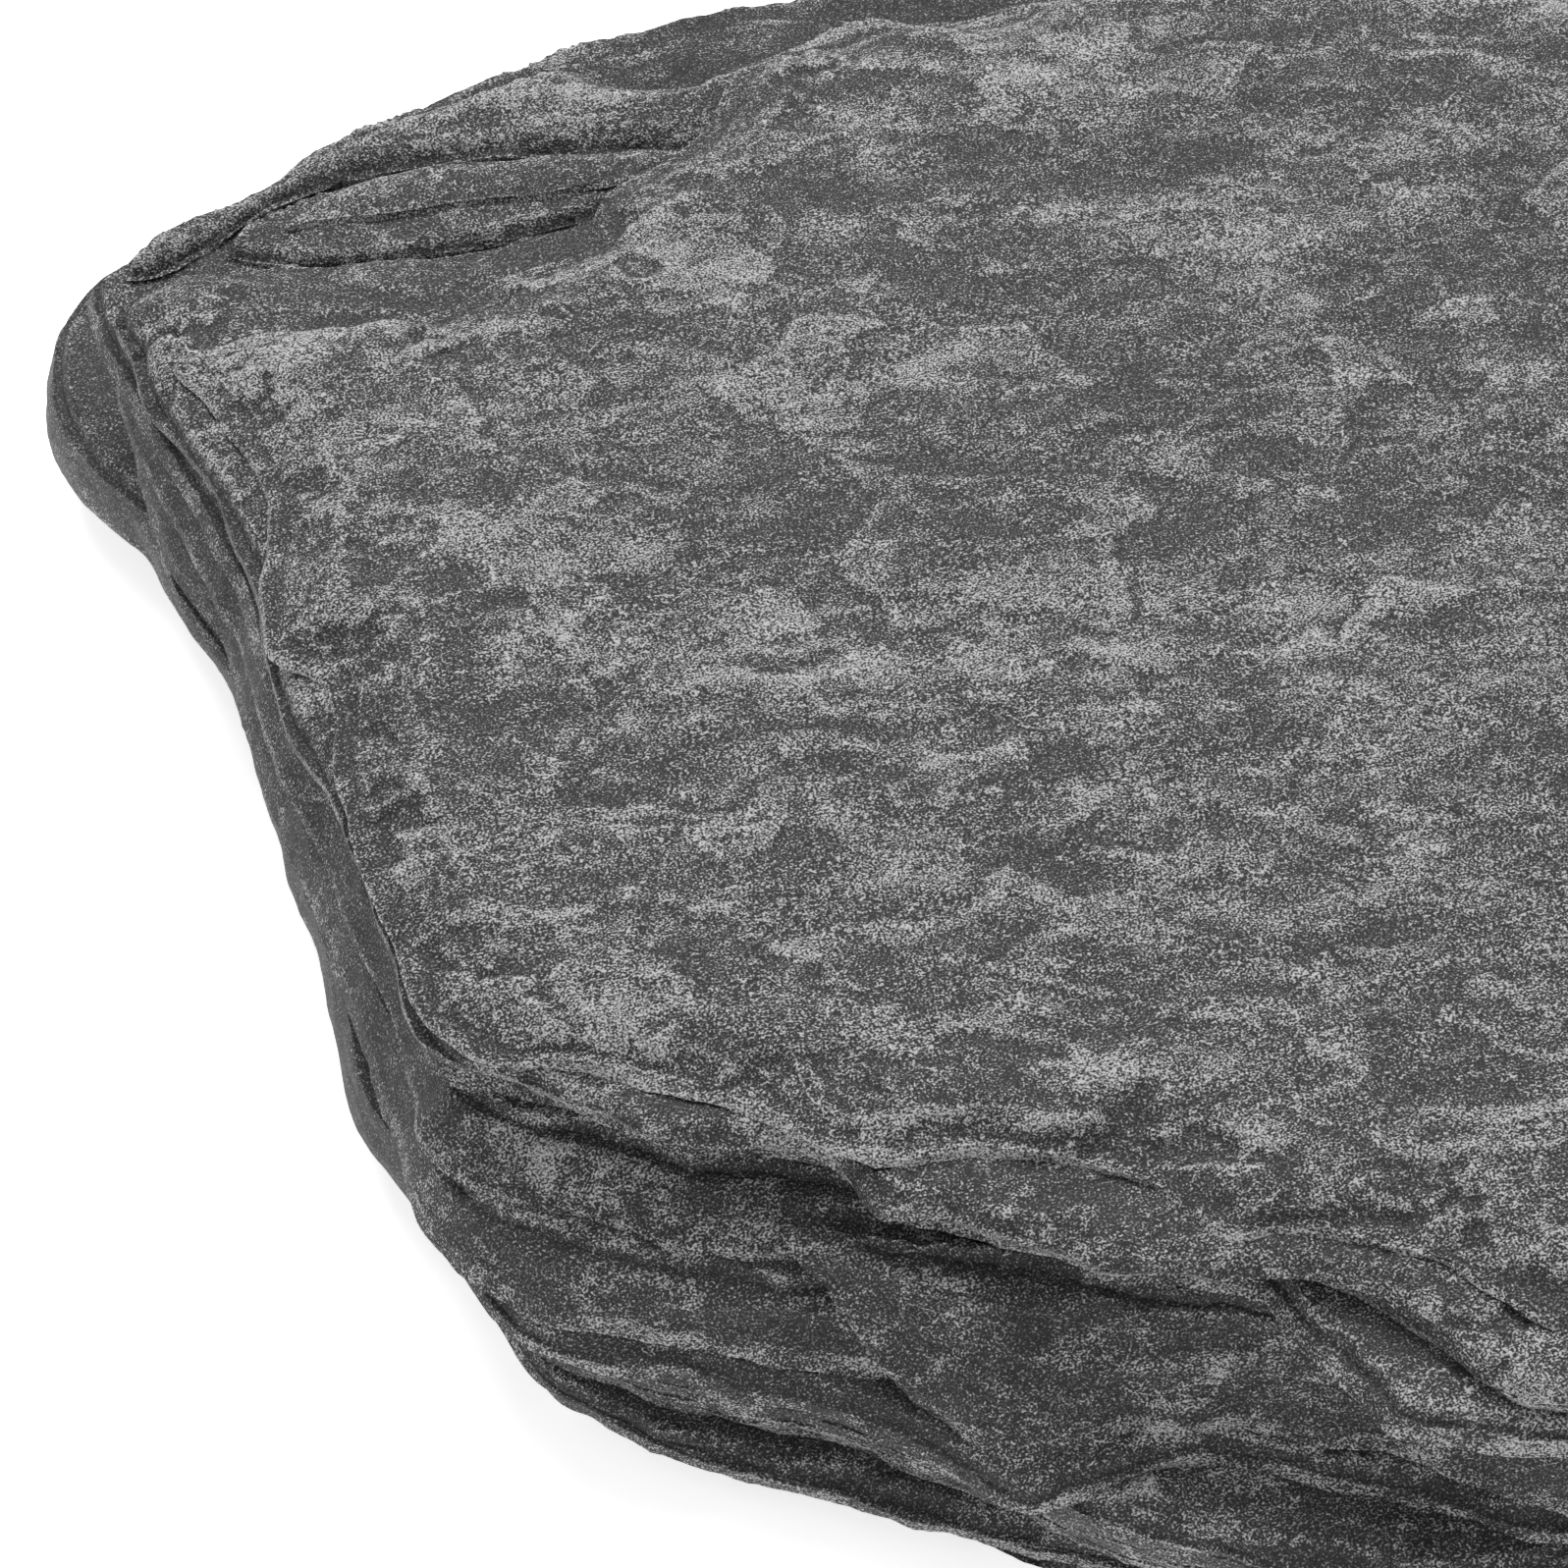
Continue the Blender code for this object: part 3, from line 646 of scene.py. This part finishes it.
makeLeaf(dict(
    node="lip_leaf", seed=12, rough=0.5, scoop=0.8, layered=0.5, bulge=0.1, foot=0.0, chips=1.2,
    waves=0.12, roll=0.4, scars=0.18, pockets=0.3, press=0.36, reach=12, leans=[(-1, 0.3, 3.0, 0.8)],
    dark=0.068, pale=0.22, dusty=0.42, patchy=0.8, askew=12, crestHighlightShadeShare=0.2, freshEdge=0.15,
    roughness=0.62, shine=0.35, bump=0.5))
makeLeaf(dict(
    node="top_leaf", seed=13, rough=0.55, scoop=0.8, layered=0.5, bulge=0.0, foot=0.0, chips=1.8,
    waves=0.35, roll=0.5, scars=0.16, pockets=0.36, press=0.36, reach=200, leans=[(-1, 0, 4.5, 1.4)],
    dark=0.068, pale=0.22, dusty=0.56, patchy=0.8, askew=12, crestHighlightShadeShare=0.2, freshEdge=0.1,
    roughness=0.62, shine=0.35, bump=0.55))
print("stone done")

# floor, lights and camera
scene = bpy.context.scene
scene.view_settings.view_transform = "Standard"
studio = dict(floorGrey=0.93, floorGlow=0.6, sky=0.42, overheadPower=6.5, fillPower=0.8, frontPower=1.15)

bpy.ops.mesh.primitive_plane_add(size=6, location=(0, 0, -0.3 * mm))
floor = bpy.context.object
floor.name = "floor"
floorPaint = bpy.data.materials.new("floor_paint")
floorPaint.use_nodes = True
floorShader = floorPaint.node_tree.nodes["Principled BSDF"]
floorShader.inputs["Base Color"].default_value = (studio["floorGrey"],) * 3 + (1,)
floorShader.inputs["Roughness"].default_value = 0.9
floorShader.inputs["Emission Color"].default_value = (1, 1, 1, 1)
floorShader.inputs["Emission Strength"].default_value = studio["floorGlow"]   # a lit table
floor.data.materials.append(floorPaint)

world = bpy.data.worlds.new("studio")
scene.world = world
world.use_nodes = True
world.node_tree.nodes["Background"].inputs["Color"].default_value = (1, 1, 1, 1)
world.node_tree.nodes["Background"].inputs["Strength"].default_value = studio["sky"]


def softLight(name, place, size, power):
    data = bpy.data.lights.new(name, "AREA")
    data.shape = "RECTANGLE"
    data.size, data.size_y = size
    data.energy = power
    light = bpy.data.objects.new(name, data)
    light.location = place
    light.rotation_euler = (Vector((0, 0, 0.02)) - Vector(place)).to_track_quat("-Z", "Y").to_euler()
    scene.collection.objects.link(light)


softLight("overhead", (-0.05, 0.4, 0.7), (0.7, 0.5), studio["overheadPower"])
softLight("left_fill", (-0.8, 0.0, 0.5), (0.5, 0.5), studio["fillPower"])
softLight("front_fill", (0.15, -0.9, 0.4), (0.6, 0.4), studio["frontPower"])

# close view of the nose end, from the front and above
closeView = dict(aim=(-26.2, -19.6, 26.0), elevation=52.0, distance=266.7, lens=100.0, sensor=36)
tilt = math.radians(closeView["elevation"])
aim = Vector(closeView["aim"]) * mm
away = Vector((0, -math.cos(tilt), math.sin(tilt))) * closeView["distance"] * mm
cameraData = bpy.data.cameras.new("camera")
cameraData.lens = closeView["lens"]
cameraData.sensor_width = closeView["sensor"]
cameraData.clip_start = 0.01
cameraData.clip_end = 20
camera = bpy.data.objects.new("camera", cameraData)
camera.location = aim + away
camera.rotation_euler = (-away).to_track_quat("-Z", "Y").to_euler()
scene.collection.objects.link(camera)
scene.camera = camera
print("stage done")
